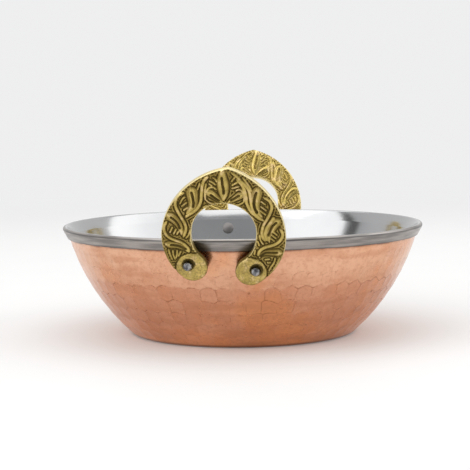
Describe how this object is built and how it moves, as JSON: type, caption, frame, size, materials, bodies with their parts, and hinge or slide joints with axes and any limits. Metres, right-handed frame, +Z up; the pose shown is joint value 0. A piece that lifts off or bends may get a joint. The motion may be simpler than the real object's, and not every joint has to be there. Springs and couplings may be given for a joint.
{
  "type": "kadai",
  "caption": "Shallow hammered copper kadai with a steel lining hemmed over the rim and upright carved brass ring handles riveted to the wall.",
  "frame": {"origin": "middle of the flat base, on the surface that the kadai stands on", "axes": "+Z up along the bowl's axis; +Y from the middle towards the back handle, -Y towards the front handle, which sits slightly askew; +X to the right seen from the front"},
  "size_m": [0.15, 0.1812, 0.073],
  "materials": {
    "copper": "satin copper, hammered in rows",
    "steel": "satin spun stainless steel",
    "handle_brass": "cast brass, carved, darkened in the recesses",
    "rivet_steel": "peened steel"
  },
  "bodies": {
    "root": {"outer_shell": "copper", "inner_bowl": "steel", "handle_front": "handle_brass", "handle_back": "handle_brass", "rivet_front_left": "rivet_steel", "rivet_front_right": "rivet_steel", "rivet_back_left": "rivet_steel", "rivet_back_right": "rivet_steel"}
  },
  "joints": []
}
